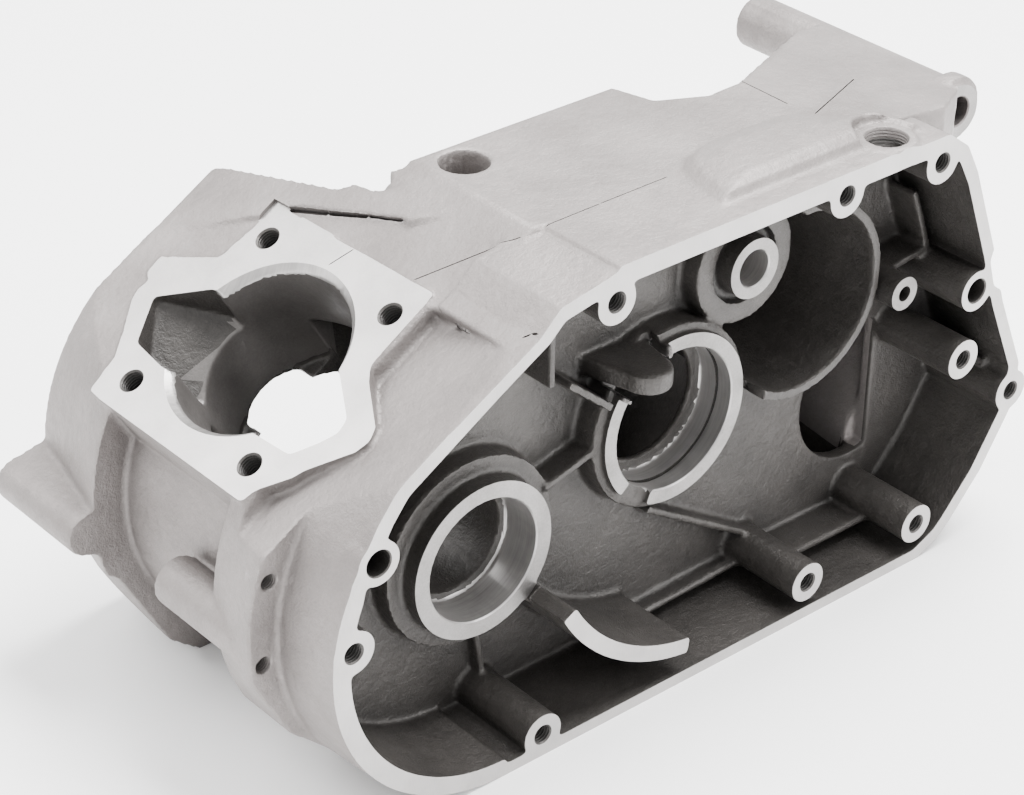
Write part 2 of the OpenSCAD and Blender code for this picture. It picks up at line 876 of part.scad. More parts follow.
module crankcase() {
  color("silver")
    difference() {
      union() {
        difference() {
          difference() {
            casting();
            front_slant(0);
          }
          compartment_hollow();
          gearbox_cavity();
          scoop();
          rear_relief();
        }
        difference() {
          cylinder_block();
          compartment_hollow();
        }
        intersection() {
          slab(0, back_y)
            cavity_2d();
          floor_features();
        }
        intersection() {
          kick_shell();
          gearbox_body();
        }
        rear_mount();
        rod(0, 0, back_y, chamber_y, crank_pass_d / 2 + 2 * crank_ring_t);
        shift_boss();
      }
      kick_pocket();
      gear_window();
      stud_holes();
      spigot_bore();
      port(far_port_shares, 1, chamber_r * 0.92);
      port(near_port_shares, -1, chamber_r * 0.74);
      crank_bores();
      shaft_bores();
      screw_holes();
      outer_bores();
      translate([-case_l, -case_l, flange_z - case_h])
        cube([3 * case_l, 3 * case_l, case_h]);
    }
}

crankcase();
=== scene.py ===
"""Bare crankcase of a small two-stroke engine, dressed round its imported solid.

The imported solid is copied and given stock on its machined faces. Its edges are softened as
a mould softens them, and it is then faced, bored and threaded again with crisp cutters.
"""

import json
import logging
import math
from collections.abc import Callable
from dataclasses import dataclass, field
from enum import Enum

import bmesh
import bpy
import numpy as np
from mathutils import Matrix, Vector

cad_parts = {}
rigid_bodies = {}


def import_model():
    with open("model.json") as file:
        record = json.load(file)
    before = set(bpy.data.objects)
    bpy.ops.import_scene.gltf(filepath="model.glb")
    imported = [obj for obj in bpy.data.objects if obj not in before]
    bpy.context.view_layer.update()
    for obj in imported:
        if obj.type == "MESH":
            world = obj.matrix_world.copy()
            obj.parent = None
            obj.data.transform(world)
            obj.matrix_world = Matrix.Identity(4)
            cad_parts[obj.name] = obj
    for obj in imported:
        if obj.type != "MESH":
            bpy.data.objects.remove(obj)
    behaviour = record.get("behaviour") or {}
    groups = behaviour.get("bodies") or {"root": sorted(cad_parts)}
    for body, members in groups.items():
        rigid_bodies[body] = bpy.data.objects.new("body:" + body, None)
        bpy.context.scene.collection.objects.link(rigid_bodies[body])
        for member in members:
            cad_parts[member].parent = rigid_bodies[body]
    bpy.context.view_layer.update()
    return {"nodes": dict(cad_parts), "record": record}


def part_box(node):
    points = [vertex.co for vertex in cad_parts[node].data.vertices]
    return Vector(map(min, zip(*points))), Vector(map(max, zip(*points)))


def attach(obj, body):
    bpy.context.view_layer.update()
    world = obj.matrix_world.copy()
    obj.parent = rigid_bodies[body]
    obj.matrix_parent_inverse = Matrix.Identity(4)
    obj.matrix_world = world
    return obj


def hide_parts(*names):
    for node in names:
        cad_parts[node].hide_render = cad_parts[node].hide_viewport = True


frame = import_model()

logging.basicConfig(level=logging.INFO, format="%(message)s")
LOG = logging.getLogger("crankcase")
NODE = "crankcase"

Socket = bpy.types.NodeSocket
Pair = tuple[float, float]
Triple = tuple[float, float, float]
Colour = tuple[float, float, float]

MM = 0.001
FULL_TURN = 360.0
# how near a face lies to a machined plane to count as a part of it
NEAR_PLANE = 0.02 * MM
# X and Z of the three shafts, in millimetres
CRANK = (0.0, 0.0)
CLUTCH = (76.0, 17.3)
SHIFT = (106.2, 58.3)
# middle of the casting
MIDDLE = Vector((0.07, 0.07, 0.02))
# takes a drawing of the flange, X and Z, to its place, with its height along Y
FLANGE_PLACE = Matrix(((1, 0, 0, 0), (0, 0, 1, 0), (0, 1, 0, 0), (0, 0, 0, 1)))


class Surface(Enum):
    """Surfaces of the casting, in the order of its material slots."""

    CAST = 0
    MACHINED = 1
    # inner faces of the compartments, rooms and ports: a darker cast finish, partly painted shade
    # for the shade inside them
    INSIDE = 2
    BORED = 3
    LINER = 4
    TURNED = 5


class Recipe:
    """Shader of one material, wired a node at a time.

    Args:
        name: name of the material.
    """

    def __init__(self, name: str) -> None:
        """Start the material.

        Args:
            name: name of the material.
        """
        self.material = bpy.data.materials.new(name)
        self.material.use_nodes = True
        self.shader = self.material.node_tree.nodes["Principled BSDF"]
        self.place = self.add("ShaderNodeTexCoord").outputs["Object"]

    def add(self, kind: str) -> bpy.types.Node:
        """Add a node of a kind and return it."""
        return self.material.node_tree.nodes.new(kind)

    def link(self, source: Socket, target: Socket) -> None:
        """Link an output socket to an input socket."""
        self.material.node_tree.links.new(source, target)

    def drive(self, name: str, value: Socket) -> None:
        """Link a value to the shader's socket of that name."""
        self.link(value, self.shader.inputs[name])

    def stretch(self, scale: Triple) -> Socket:
        """Stretch the Object coordinates.

        Args:
            scale: stretch along X, Y and Z.

        Returns:
            The socket with the stretched coordinates.
        """
        node = self.add("ShaderNodeMapping")
        node.inputs["Scale"].default_value = scale
        self.link(self.place, node.inputs["Vector"])
        return node.outputs["Vector"]

    def noise(self, place: Socket, scale: float, detail: float, roughness: float) -> Socket:
        """Add a noise texture.

        Args:
            place: socket that gives the place.
            scale: size of the pattern, per metre.
            detail: octaves of the noise.
            roughness: weight of the fine octaves.

        Returns:
            The socket with the noise value.
        """
        node = self.add("ShaderNodeTexNoise")
        node.inputs["Scale"].default_value = scale
        node.inputs["Detail"].default_value = detail
        node.inputs["Roughness"].default_value = roughness
        self.link(place, node.inputs["Vector"])
        return node.outputs["Fac"]

    def ramp(self, value: Socket, low: tuple[float, Colour],
             high: tuple[float, Colour]) -> Socket:
        """Add a ramp between two colours.

        Args:
            value: socket that drives the ramp.
            low: position and colour of the first stop.
            high: position and colour of the second stop.

        Returns:
            The socket with the colour.
        """
        node = self.add("ShaderNodeValToRGB")
        for stop, (position, colour) in zip(node.color_ramp.elements, (low, high)):
            stop.position = position
            stop.color = (*colour, 1.0)
        self.link(value, node.inputs["Fac"])
        return node.outputs["Color"]

    def span(self, value: Socket, source: Pair, target: Pair = (0.0, 1.0)) -> Socket:
        """Map a value's span to another one.

        Args:
            value: socket with the value.
            source: values that map to the ends of the target.
            target: first and last result.

        Returns:
            The socket with the result.
        """
        node = self.add("ShaderNodeMapRange")
        node.inputs["From Min"].default_value, node.inputs["From Max"].default_value = source
        node.inputs["To Min"].default_value, node.inputs["To Max"].default_value = target
        self.link(value, node.inputs["Value"])
        return node.outputs["Result"]

    def blend(self, kind: str, share: Socket | float, first: Socket,
              second: Socket | Colour) -> Socket:
        """Blend two colours.

        Args:
            kind: how the colours are blended.
            share: how much of the second colour shows.
            first: socket with the first colour.
            second: the second colour.

        Returns:
            The socket with the colour.
        """
        node = self.add("ShaderNodeMix")
        node.data_type = "RGBA"
        node.blend_type = kind
        if isinstance(share, float):
            node.inputs[0].default_value = share
        else:
            self.link(share, node.inputs[0])
        self.link(first, node.inputs[6])
        if isinstance(second, tuple):
            node.inputs[7].default_value = (*second, 1.0)
        else:
            self.link(second, node.inputs[7])
        return node.outputs[2]

    def weigh(self, first: Socket, weight: float, second: Socket) -> Socket:
        """Add a value, taken by its weight, to another one.

        Args:
            first: socket with the value that is weighed.
            weight: its weight.
            second: socket with the other value.

        Returns:
            The socket with the sum.
        """
        node = self.add("ShaderNodeMath")
        node.operation = "MULTIPLY_ADD"
        node.inputs[1].default_value = weight
        self.link(first, node.inputs[0])
        self.link(second, node.inputs[2])
        return node.outputs[0]

    def product(self, first: Socket, second: Socket) -> Socket:
        """Multiply two values.

        Args:
            first: socket with the first value.
            second: socket with the second value.

        Returns:
            The socket with the product.
        """
        node = self.add("ShaderNodeMath")
        node.operation = "MULTIPLY"
        self.link(first, node.inputs[0])
        self.link(second, node.inputs[1])
        return node.outputs[0]

    def openness(self, reach: float, inside: bool = False, samples: int = 6) -> Socket:
        """Tell open places from corners, or from edges when it looks inside.

        Args:
            reach: how far it looks, in metres.
            inside: whether it looks into the metal.
            samples: rays per look.

        Returns:
            The socket with 1 in open places and less in the others.
        """
        node = self.add("ShaderNodeAmbientOcclusion")
        node.samples = samples
        node.inside = inside
        node.inputs["Distance"].default_value = reach
        return node.outputs["AO"]

    def emboss(self, height: Socket, depth: float) -> None:
        """Give the surface a relief.

        Args:
            height: socket with the height, as a share of the depth.
            depth: depth of the relief in metres.
        """
        node = self.add("ShaderNodeBump")
        node.inputs["Strength"].default_value = 1.0
        node.inputs["Distance"].default_value = depth
        self.link(height, node.inputs["Height"])
        self.drive("Normal", node.outputs["Normal"])


@dataclass(frozen=True)
class CastFinish:
    """As-cast aluminium: fine grain, slow mottling, rubbed edges with a painted highlight, and
    painted shade in the corners.

    Args:
        name: name of the material.
        light: colour of the high spots.
        dark: colour of the low spots.
        wear_and_highlight: colour of the rubbed edges, partly real wear and partly a painted
            highlight where edges catch light.
        roughness: roughness of the metal.
        metallic: share of metal in the shader.
        relief: height of the grain in metres.
        wear_and_highlight_reach: how far the rubbed colour and painted highlight go from an edge
            in metres.
        painted_shade: brightness of the painted shade in the corners, as a share of the open
            places.
        painted_shade_reach: how far the painted shade goes from a corner in metres.
        grain_size: grains per metre.
        pit_size: pits per metre.
        mottle_size: mottles per metre.
    """

    name: str
    light: Colour
    dark: Colour
    wear_and_highlight: Colour
    roughness: float = 0.55
    metallic: float = 0.6
    relief: float = 0.2 * MM
    wear_and_highlight_reach: float = 1.6 * MM
    painted_shade: float = 0.45
    painted_shade_reach: float = 12.0 * MM
    grain_size: float = 1400.0
    pit_size: float = 392.0
    mottle_size: float = 38.0

    def material(self) -> bpy.types.Material:
        """Build the material.

        Returns:
            The material, reading Object coordinates.
        """
        recipe = Recipe(self.name)
        recipe.shader.inputs["Metallic"].default_value = self.metallic
        mottle = recipe.noise(recipe.place, self.mottle_size, detail=4.0, roughness=0.6)
        grain = recipe.noise(recipe.place, self.grain_size, detail=3.0, roughness=0.65)
        pits = recipe.noise(recipe.place, self.pit_size, detail=2.0, roughness=0.5)
        tone = recipe.weigh(grain, 0.45, mottle)
        colour = recipe.ramp(tone, (0.42, self.dark), (0.95, self.light))
        # rubbed edges: real wear plus a painted highlight, a lighter colour along edges found by
        # inward ambient occlusion
        edges = recipe.span(recipe.openness(self.wear_and_highlight_reach, inside=True), (0.62, 0.25))
        specks = recipe.product(edges, recipe.span(grain, (0.3, 0.6)))
        colour = recipe.blend("MIX", specks, colour, self.wear_and_highlight)
        # painted shade: ambient occlusion darkens the base colour in corners and recesses
        corners = recipe.openness(self.painted_shade_reach)
        shade = recipe.ramp(corners, (0.25, (self.painted_shade,) * 3), (0.85, (1.0,) * 3))
        recipe.drive("Base Color", recipe.blend("MULTIPLY", 1.0, colour, shade))
        rough = (self.roughness - 0.1, self.roughness + 0.12)
        recipe.drive("Roughness", recipe.span(pits, (0.0, 1.0), rough))
        recipe.emboss(recipe.weigh(pits, 1.6, grain), self.relief)
        return recipe.material


@dataclass(frozen=True)
class MilledFinish:
    """Machined aluminium with fine tool marks.

    Args:
        name: name of the material.
        light: colour of the bright lines.
        dark: colour of the dull lines.
        pitch: tool marks per metre along X, Y and Z.
        roughness: roughness of the metal.
        relief: height of the tool marks in metres.
        metallic: share of metal in the shader.
        mottle_size: mottles per metre.
    """

    name: str
    light: Colour
    dark: Colour
    pitch: Triple = (2600.0, 900.0, 240.0)
    roughness: float = 0.3
    relief: float = 0.02 * MM
    metallic: float = 0.75
    mottle_size: float = 60.0

    def material(self) -> bpy.types.Material:
        """Build the material.

        Returns:
            The material, reading Object coordinates.
        """
        recipe = Recipe(self.name)
        recipe.shader.inputs["Metallic"].default_value = self.metallic
        lines = recipe.noise(recipe.stretch(self.pitch), 1.0, detail=3.0, roughness=0.6)
        mottle = recipe.noise(recipe.place, self.mottle_size, detail=3.0, roughness=0.6)
        tone = recipe.weigh(lines, 0.6, mottle)
        recipe.drive("Base Color", recipe.ramp(tone, (0.5, self.dark), (1.0, self.light)))
        rough = (self.roughness - 0.06, self.roughness + 0.14)
        recipe.drive("Roughness", recipe.span(lines, (0.0, 1.0), rough))
        recipe.emboss(lines, self.relief)
        return recipe.material


def within(points: np.ndarray, corners: np.ndarray) -> np.ndarray:
    """Test which points lie in a polygon.

    Args:
        points: rows of two coordinates.
        corners: corners of the polygon, in order.

    Returns:
        One truth value per point.
    """
    inside = np.zeros(len(points), bool)
    x, y = points[:, 0], points[:, 1]
    for (ax, ay), (bx, by) in zip(corners, np.roll(corners, -1, 0)):
        if ay == by:
            continue
        hit = ((ay > y) != (by > y)) & (x < (bx - ax) * (y - ay) / (by - ay) + ax)
        inside ^= hit
    return inside


def side_normals(starts: np.ndarray, ends: np.ndarray) -> np.ndarray:
    """Find the outward normals of a counter-clockwise polygon's sides.

    Args:
        starts: first corner of each side.
        ends: second corner of each side.

    Returns:
        One unit vector per side.
    """
    along = (ends - starts) / np.linalg.norm(ends - starts, axis=1)[:, None]
    return np.stack([along[:, 1], -along[:, 0]], 1)


def offset(corners: np.ndarray, by: float, sharpest: float = 0.35) -> np.ndarray:
    """Move the sides of a counter-clockwise polygon outward, or inward when negative.

    Args:
        corners: corners of the polygon, in order.
        by: how far the sides move.
        sharpest: keeps the move of a sharp corner short.

    Returns:
        The new corners.
    """
    before = side_normals(np.roll(corners, 1, 0), corners)
    after = side_normals(corners, np.roll(corners, -1, 0))
    spread = np.maximum(1.0 + (before * after).sum(1), sharpest)
    return corners + by * (before + after) / spread[:, None]


def arc(centre: Pair, radius: float, start: float, end: float, steps: int = 64) -> np.ndarray:
    """Find points on an arc.

    Args:
        centre: centre of the arc in millimetres.
        radius: its radius in millimetres.
        start: turn of the first point in degrees.
        end: turn of the last point in degrees.
        steps: number of points.

    Returns:
        The points in metres. A full circle doesn't repeat its first point.
    """
    closed = abs(end - start) >= FULL_TURN
    turns = np.radians(np.linspace(start, end, steps, endpoint=not closed))
    ring = np.stack([np.cos(turns), np.sin(turns)], 1) * radius
    return (ring + np.array(centre)) * MM


def deselect() -> None:
    """Deselect every object."""
    bpy.ops.object.select_all(action="DESELECT")


def activate(piece: bpy.types.Object) -> None:
    """Make one object the selected and active one.

    Args:
        piece: the object.
    """
    deselect()
    piece.select_set(True)
    bpy.context.view_layer.objects.active = piece


def apply_modifier(piece: bpy.types.Object, kind: str, **values: object) -> None:
    """Add a modifier, set it and apply it.

    Args:
        piece: object that takes the modifier.
        kind: type of the modifier.
        values: attributes of the modifier.
    """
    activate(piece)
    modifier = piece.modifiers.new(kind.lower(), kind)
    for name, value in values.items():
        setattr(modifier, name, value)
    bpy.ops.object.modifier_apply(modifier=modifier.name)


def turn_to(axis: Vector) -> Matrix:
    """Rotation that takes +Z to an axis."""
    return Vector((0.0, 0.0, 1.0)).rotation_difference(axis.normalized()).to_matrix().to_4x4()


def cylinder(name: str, start: Vector, axis: Vector, length: float, radius: float,
             sides: int = 64, radius_end: float | None = None) -> bpy.types.Object:
    """Add a round bar, or a cone, from a start point along an axis.

    Args:
        name: name of the object.
        start: centre of the first end.
        axis: direction of the bar.
        length: length of the bar.
        radius: radius at the first end.
        sides: number of sides.
        radius_end: radius at the other end, or the same radius.

    Returns:
        The bar, with its place in its mesh.
    """
    deselect()
    end = radius if radius_end is None else radius_end
    bpy.ops.mesh.primitive_cone_add(vertices=sides, radius1=radius, radius2=end, depth=length)
    bar = bpy.context.object
    bar.name = name
    place = Matrix.Translation(start) @ turn_to(axis) @ Matrix.Translation((0, 0, length / 2))
    bar.data.transform(place)
    return bar


def prism(name: str, corners: np.ndarray, low: float, high: float,
          place: Matrix) -> bpy.types.Object:
    """Add a straight prism over a polygon.

    Args:
        name: name of the object.
        corners: corners of the polygon, in the local XY plane.
        low: local Z of the bottom.
        high: local Z of the top.
        place: where the local axes lie.

    Returns:
        The prism, with its place in its mesh.
    """
    deselect()
    bpy.ops.mesh.primitive_plane_add(size=1.0)
    block = bpy.context.object
    block.name = name
    work = bmesh.new()
    lower = [work.verts.new((x, y, low)) for x, y in corners]
    upper = [work.verts.new((x, y, high)) for x, y in corners]
    work.faces.new(lower)
    work.faces.new(upper)
    for i in range(len(corners)):
        j = (i + 1) % len(corners)
        work.faces.new((lower[i], lower[j], upper[j], upper[i]))
    bmesh.ops.transform(work, matrix=place, verts=work.verts[:])
    bmesh.ops.recalc_face_normals(work, faces=work.faces[:])
    work.to_mesh(block.data)
    work.free()
    return block


@dataclass(frozen=True)
class Bore:
    """A round hole with a chamfered mouth.

    Args:
        mouth: centre of the mouth.
        axis: direction out of the hole.
        radius: radius of the hole.
        depth: depth of the hole.
        chamfer: width of the chamfer at the mouth.
        thread: pitch of the thread, or 0 for a plain hole.
        over: how far the cutter stands out of the mouth.
        crest_share: how far the thread's crests stand in, as a share of the pitch.
        root_share: how far its roots cut outward, as a share of the pitch.
        thread_share: how deep the thread goes, as a share of the depth.
        point_share: where the drill's point starts, as a share of the depth.
        taper_share: radius where the point starts, as a share of the radius.
    """

    mouth: Vector
    axis: Vector
    radius: float
    depth: float
    chamfer: float = 0.4 * MM
    thread: float = 0.0
    over: float = 1.0 * MM
    crest_share: float = 0.3
    root_share: float = 0.22
    thread_share: float = 0.9
    point_share: float = 0.93
    taper_share: float = 0.99

    def profile(self) -> list[Pair]:
        """Draw the hole's wall from above the mouth to the bottom.

        Returns:
            Pairs of radius and depth.
        """
        rows = [(self.radius + self.chamfer + self.over, -self.over),
                (self.radius, self.chamfer)]
        if self.thread:
            crest = self.radius - self.thread * self.crest_share
            root = self.radius + self.thread * self.root_share
            at = self.chamfer + self.thread * self.crest_share
            while at + self.thread < self.depth * self.thread_share:
                rows += [(crest, at), (root, at + self.thread / 2)]
                at += self.thread
        rows += [(self.radius * self.taper_share, self.depth * self.point_share),
                 (0.0, self.depth)]
        return rows

    def cutter(self, name: str, sides: int = 40) -> bpy.types.Object:
        """Spin the profile into a closed cutter.

        Args:
            name: name of the cutter.
            sides: number of sides.

        Returns:
            The cutter, with its place in its mesh.
        """
        deselect()
        bpy.ops.mesh.primitive_circle_add(vertices=sides, radius=1.0, fill_type="NOTHING")
        tool = bpy.context.object
        tool.name = name
        *rows, (_, bottom) = self.profile()
        work = bmesh.new()
        work.from_mesh(tool.data)
        circle = sorted(work.verts, key=lambda v: math.atan2(v.co.y, v.co.x))
        rings = [[work.verts.new((v.co.x * radius, v.co.y * radius, -depth)) for v in circle]
                 for radius, depth in rows]
        for v in circle:
            work.verts.remove(v)
        tip = work.verts.new((0, 0, -bottom))
        for above, below in zip(rings, rings[1:]):
            for i in range(sides):
                j = (i + 1) % sides
                work.faces.new((above[i], below[i], below[j], above[j]))
        work.faces.new(rings[0])
        for i in range(sides):
            work.faces.new((rings[-1][i], tip, rings[-1][(i + 1) % sides]))
        bmesh.ops.recalc_face_normals(work, faces=work.faces[:])
        work.to_mesh(tool.data)
        work.free()
        tool.data.transform(Matrix.Translation(self.mouth) @ turn_to(self.axis))
        return tool


@dataclass(frozen=True)
class RingFace:
    """A machined face on a bearing ring or boss, in millimetres and degrees.

    Args:
        centre: X and Z of the centre.
        y: distance of the face from the flange.
        radius: outer radius.
        start: turn where the face starts.
        end: turn where it ends.
    """

    centre: Pair
    y: float
    radius: float
    start: float = 0.0
    end: float = FULL_TURN

    def outline(self, spare: float) -> np.ndarray:
        """Draw the face's outline, through its centre where it isn't a full ring.

        Args:
            spare: width added round the face in millimetres.

        Returns:
            The corners in metres.
        """
        points = arc(self.centre, self.radius + spare, self.start, self.end)
        if self.end - self.start < FULL_TURN:
            points = np.vstack([points, np.array([self.centre]) * MM])
        return points


@dataclass(frozen=True)
class Groove:
    """A fine straight groove in a surface, in millimetres.

    Args:
        start: first end, on the surface.
        end: second end, on the surface.
        up: the surface's normal.
        width: width of the groove.
        depth: depth of the groove.
        point: length of the pointed ends.
        over: how far the cutter stands out of the surface.
    """

    start: Triple
    end: Triple
    up: Triple
    width: float = 0.4
    depth: float = 0.45
    point: float = 0.9
    over: float = 1.2

    def cutter(self, name: str) -> bpy.types.Object:
        """Build the cutter, pointed at both ends.

        Args:
            name: name of the cutter.

        Returns:
            The cutter, with its place in its mesh.
        """
        start, run = Vector(self.start) * MM, (Vector(self.end) - Vector(self.start)) * MM
        along = run.normalized()
        up = (Vector(self.up) - along * along.dot(Vector(self.up))).normalized()
        side = up.cross(along)
        place = Matrix((along, side, up)).transposed().to_4x4()
        place.translation = start
        length, half, point = run.length, self.width * MM / 2, self.point * MM
        corners = np.array([(0.0, 0.0), (point, -half), (length - point, -half),
                            (length, 0.0), (length - point, half), (point, half)])
        return prism(name, corners, -self.depth * MM, self.over * MM, place)


@dataclass
class Casting:
    """The crankcase: softened cast body, machined again.

    Args:
        voxel: size of the grid that softens the body.
        passes: smoothing passes.
        allowance: stock left on machined faces before they are cut.
        keep: share of the triangles kept after softening.
        tilt: lean of the cylinder towards the front.
        face_up: distance of the cylinder face from the crankshaft.
        face_y: distance of the cylinder's axis from the flange.
        stud_pitch: distance between two cylinder studs.
        stud_radius: radius of a stud's hole.
        stud_depth: depth of a stud's hole.
        coarse: pitch of the threads from M6 up.
        fine: pitch of the smaller threads.
        fine_below: radius below which a thread is fine.
        spigot: radius of the bore's chamfer at its cutter's upper end.
        pad_shares: outline of the cylinder face, along the crankshaft and down the slope, as
            shares of the stud pitch.
        body: the piece, once it is copied.
    """

    voxel: float = 0.75 * MM
    passes: int = 6
    allowance: float = 1.6 * MM
    keep: float = 0.062
    tilt: float = math.radians(31)
    face_up: float = 65.5 * MM
    face_y: float = 79 * MM
    stud_pitch: float = 58 * MM
    stud_radius: float = 3.5 * MM
    stud_depth: float = 20 * MM
    coarse: float = 1.0 * MM
    fine: float = 0.8 * MM
    fine_below: float = 2.6 * MM
    spigot: float = 31.3 * MM
    pad_shares: tuple[Pair, ...] = (
        (0.62, -0.67), (-0.62, -0.7), (-0.63, -0.24), (-0.71, -0.155), (-0.94, 0.01),
        (-0.97, 0.08), (-0.955, 0.157), (-0.793, 0.37), (-0.766, 0.433), (-0.631, 0.6),
        (-0.622, 0.67), (0.576, 0.67), (0.678, 0.66), (0.7, 0.457), (0.795, 0.31),
        (0.91, 0.157), (0.934, 0.09), (0.917, 0.026), (0.974, -0.01), (0.98, -0.107),
        (0.65, -0.28), (0.616, -0.505))
    body: bpy.types.Object | None = field(default=None, repr=False)

    @property
    def pad(self) -> np.ndarray:
        """Outline of the cylinder face on its local axes, counter-clockwise, in metres."""
        corners = np.array([(-down, along) for along, down in self.pad_shares])
        corners *= self.stud_pitch
        after = np.roll(corners, -1, 0)
        area = np.sum(corners[:, 0] * after[:, 1] - corners[:, 1] * after[:, 0])
        return corners if area > 0 else corners[::-1]

    @property
    def face_normal(self) -> Vector:
        """Direction of the cylinder."""
        return Vector((-math.sin(self.tilt), 0.0, math.cos(self.tilt)))

    @property
    def face_slope(self) -> Vector:
        """Direction up the slope of the cylinder face."""
        return Vector((math.cos(self.tilt), 0.0, math.sin(self.tilt)))

    @property
    def face_centre(self) -> Vector:
        """Centre of the cylinder face."""
        return self.face_normal * self.face_up + Vector((0, self.face_y, 0))

    @property
    def face_place(self) -> Matrix:
        """Local axes of the cylinder face: X up the slope, Y along the crankshaft."""
        return (Matrix.Translation((0.0, self.face_y, 0.0))
                @ Matrix.Rotation(-self.tilt, 4, "Y")
                @ Matrix.Translation((0.0, 0.0, self.face_up)))

    @property
    def rings(self) -> tuple[RingFace, ...]:
        """Machined faces of the two bearing rings, the shift shaft boss and two more bosses."""
        return (
            RingFace(CRANK, 18.7, 25.5),
            RingFace(CLUTCH, 20.5, 28.3, 146.0, 459.0),
            RingFace(SHIFT, 20.5, 9.9),
            RingFace((163.31, 33.99), 10.24, 5.71),
            RingFace((204.0, 77.0), 30.0, 9.0),
        )

    @property
    def grooves(self) -> tuple[Groove, ...]:
        """Parting lines, the slit behind the cylinder face and the chips at its ends."""
        front, top, web = (-0.54, 0.0, 0.84), (0.0, 0.0, 1.0), (0.11, 0.0, 0.99)
        return (
            Groove((2.0, 53.2, 76.7), (24.9, 33.0, 91.4), front),
            Groove((28.0, 30.9, 93.3), (52.6, 31.3, 93.3), top),
            Groove((52.3, 31.3, 93.3), (79.0, 31.6, 93.3), top),
            Groove((-6.6, 81.6, 72.4), (0.6, 78.4, 76.7), (-0.515, 0.0, 0.858)),
            Groove((141.5, 66.0, 93.3), (140.9, 44.0, 93.3), top, 0.5, 0.5),
            Groove((176.0, 49.7, 89.5), (142.4, 34.4, 93.05), web, 0.5, 0.6),
            Groove((0.4, 109.6, 76.7), (5.1, 95.9, 79.4), front, 1.5, 1.6),
            Groove((4.9, 96.4, 79.3), (9.7, 82.6, 82.2), front, 1.3, 1.7),
            Groove((9.5, 83.2, 82.1), (13.3, 70.9, 84.3), front, 0.8, 1.2),
            Groove((1.3, 5.4, 79.6), (3.4, 3.6, 80.9), front, 0.6, 0.7),
            Groove((3.4, 3.9, 80.8), (4.2, 1.4, 81.4), front, 0.8, 0.6),
        )

    def copy_solid(self) -> None:
        """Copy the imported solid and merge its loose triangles."""
        source = frame["nodes"][NODE]
        self.body = bpy.data.objects.new("crankcase_casting", source.data.copy())
        bpy.context.scene.collection.objects.link(self.body)
        self.body.data.materials.clear()
        activate(self.body)
        bpy.ops.object.mode_set(mode="EDIT")
        bpy.ops.mesh.select_all(action="SELECT")
        bpy.ops.mesh.remove_doubles(threshold=1e-6)
        bpy.ops.object.mode_set(mode="OBJECT")

    def add_allowance(self) -> None:
        """Extrude the flat faces that are machined, as stock to cut away."""
        up = self.face_normal
        forward = Vector((0, -self.allowance, 0))
        self.extrude_faces(
            lambda f: abs(f.calc_center_median().y) < NEAR_PLANE and f.normal.y < -0.99,
            forward)
        self.extrude_faces(
            lambda f: f.normal.dot(up) > 0.999
            and abs(f.calc_center_median().dot(up) - self.face_up) < NEAR_PLANE,
            up * self.allowance)
        for ring in self.rings:
            centre = Vector((ring.centre[0] * MM, ring.y * MM, ring.centre[1] * MM))
            reach = ring.radius * MM
            self.extrude_faces(
                lambda f: f.normal.y < -0.99
                and abs(f.calc_center_median().y - centre.y) < NEAR_PLANE
                and (f.calc_center_median() - centre).length < reach,
                forward)

    def extrude_faces(self, chosen: Callable[[bmesh.types.BMFace], bool],
                      move: Vector) -> None:
        """Extrude some faces by a vector.

        Args:
            chosen: test that a face passes to be extruded.
            move: the move of the extruded faces.
        """
        work = bmesh.new()
        work.from_mesh(self.body.data)
        faces = [f for f in work.faces if chosen(f)]
        LOG.info("allowance on %d faces", len(faces))
        if not faces:
            work.free()
            return
        made = bmesh.ops.extrude_face_region(work, geom=faces)
        verts = [g for g in made["geom"] if isinstance(g, bmesh.types.BMVert)]
        bmesh.ops.translate(work, verts=verts, vec=move)
        bmesh.ops.delete(work, geom=faces, context="FACES_ONLY")
        work.to_mesh(self.body.data)
        work.free()

    def soften(self) -> None:
        """Round every edge a little, as a mould does, and thin the mesh."""
        apply_modifier(self.body, "REMESH", mode="VOXEL", voxel_size=self.voxel)
        apply_modifier(self.body, "SMOOTH", factor=0.5, iterations=self.passes)
        LOG.info("softened body: %d faces", len(self.body.data.polygons))
        apply_modifier(self.body, "DECIMATE", ratio=self.keep)
        LOG.info("thinned body: %d faces", len(self.body.data.polygons))

    def cut(self, tool: bpy.types.Object) -> None:
        """Cut a tool's shape away and delete the tool.

        Args:
            tool: the cutter.
        """
        apply_modifier(self.body, "BOOLEAN", operation="DIFFERENCE", solver="MANIFOLD",
                       object=tool)
        mesh = tool.data
        bpy.data.objects.remove(tool)
        bpy.data.meshes.remove(mesh)

    def face_flange(self) -> None:
        """Cut the flange and the posts to their common plane."""
        wide, deep, tall = 0.5, 0.1, 0.3
        deselect()
        bpy.ops.mesh.primitive_cube_add(size=1.0)
        tool = bpy.context.object
        tool.data.transform(Matrix.Translation((MIDDLE.x, -deep / 2, MIDDLE.z))
                            @ Matrix.Diagonal((wide, deep, tall, 1.0)))
        self.cut(tool)

    def face_cylinder(self) -> None:
        """Cut the cylinder face to its plane."""
        spare, tall = 1.3 * MM, 4.0 * MM
        self.cut(prism("facing_tool", offset(self.pad, spare), 0.0, tall, self.face_place))

    def face_rings(self) -> None:
        """Cut the faces of the bearing rings and bosses."""
        spare, tall = 0.8, 3.0 * MM
        for ring in self.rings:
            high = ring.y * MM
            self.cut(prism("ring_tool", ring.outline(spare), high - tall, high, FLANGE_PLACE))

